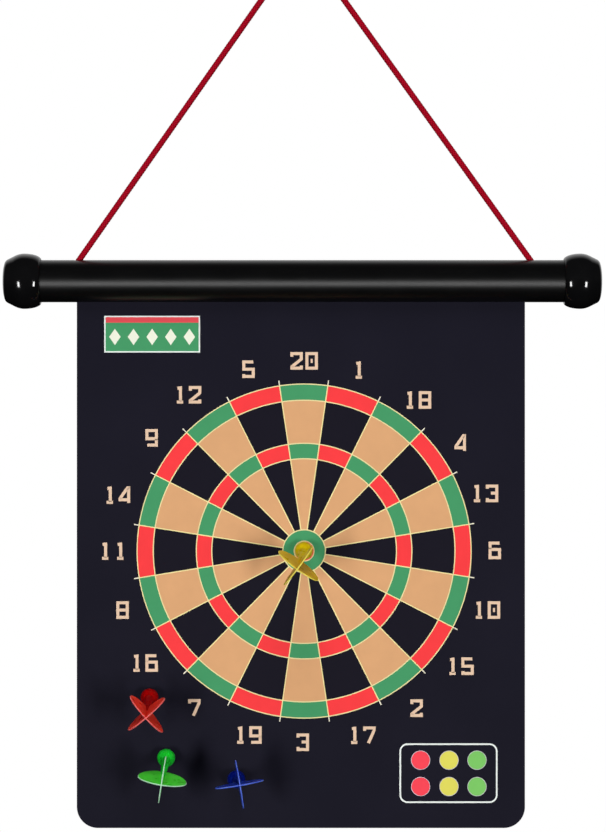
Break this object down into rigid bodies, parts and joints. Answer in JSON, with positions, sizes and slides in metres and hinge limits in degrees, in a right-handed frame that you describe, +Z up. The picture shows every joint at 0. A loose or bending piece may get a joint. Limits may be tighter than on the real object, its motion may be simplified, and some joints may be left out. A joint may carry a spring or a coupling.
{
  "type": "magnetic dartboard",
  "caption": "Roll-up magnetic dartboard: a printed ferrous sheet swings in a slotted header tube with bulb end caps and a braided hanging cord; cross-finned magnetic darts pull off.",
  "frame": {"origin": "the point on the underside of the cord's bend that bears on the hook", "axes": "+X along the header tube to the right as seen by a player, +Y towards the wall, +Z up; the printed face looks along -Y"},
  "size_m": [0.481, 0.0851, 0.7103],
  "materials": {
    "tube_plastic": "satin black extruded plastic",
    "cap_plastic": "gloss black moulded plastic",
    "cord": "braided polyester cord",
    "rod_plastic": "extruded plastic",
    "print_film": "matt printed film",
    "ferrous_core": "iron-filled flexible rubber",
    "back_film": "matt black film",
    "red_plastic": "translucent moulded plastic",
    "green_plastic": "translucent moulded plastic",
    "blue_plastic": "translucent moulded plastic",
    "yellow_plastic": "translucent moulded plastic",
    "magnet": "sintered magnet, satin"
  },
  "bodies": {
    "cord": {"hanging_cord": "cord"},
    "tube": {"header_tube": "tube_plastic", "left_cord_knot": "cord", "right_cord_knot": "cord"},
    "left_cap": {"left_end_cap": "cap_plastic"},
    "right_cap": {"right_end_cap": "cap_plastic"},
    "sheet": {"sheet_rod": "rod_plastic", "sheet_print_film": "print_film", "sheet_ferrous_core": "ferrous_core", "sheet_back_film": "back_film"},
    "red_dart": {"red_dart_body": "red_plastic", "red_dart_magnet": "magnet", "red_dart_flight": "red_plastic"},
    "green_dart": {"green_dart_body": "green_plastic", "green_dart_magnet": "magnet", "green_dart_flight": "green_plastic"},
    "blue_dart": {"blue_dart_body": "blue_plastic", "blue_dart_magnet": "magnet", "blue_dart_flight": "blue_plastic"},
    "yellow_dart": {"yellow_dart_body": "yellow_plastic", "yellow_dart_magnet": "magnet", "yellow_dart_flight": "yellow_plastic"}
  },
  "joints": [
    {"name": "board_swing", "type": "hinge", "parent": "cord", "child": "tube", "pos_m": [0, 0, -0.2495], "axis": [1, 0, 0], "range_deg": [-40, 40]},
    {"name": "sheet_swing", "type": "hinge", "parent": "tube", "child": "sheet", "pos_m": [0, 0, -0.278], "axis": [1, 0, 0], "range_deg": [-15, 15]},
    {"name": "left_cap_pull", "type": "slide", "parent": "tube", "child": "left_cap", "axis": [-1, 0, 0], "range_m": [0, 0.04]},
    {"name": "right_cap_pull", "type": "slide", "parent": "tube", "child": "right_cap", "axis": [1, 0, 0], "range_m": [0, 0.04]},
    {"name": "red_dart_pull", "type": "slide", "parent": "sheet", "child": "red_dart", "axis": [0, -1, 0], "range_m": [0, 0.12]},
    {"name": "green_dart_pull", "type": "slide", "parent": "sheet", "child": "green_dart", "axis": [0, -1, 0], "range_m": [0, 0.12]},
    {"name": "blue_dart_pull", "type": "slide", "parent": "sheet", "child": "blue_dart", "axis": [0, -1, 0], "range_m": [0, 0.12]},
    {"name": "yellow_dart_pull", "type": "slide", "parent": "sheet", "child": "yellow_dart", "axis": [0, -1, 0], "range_m": [0, 0.12]}
  ]
}
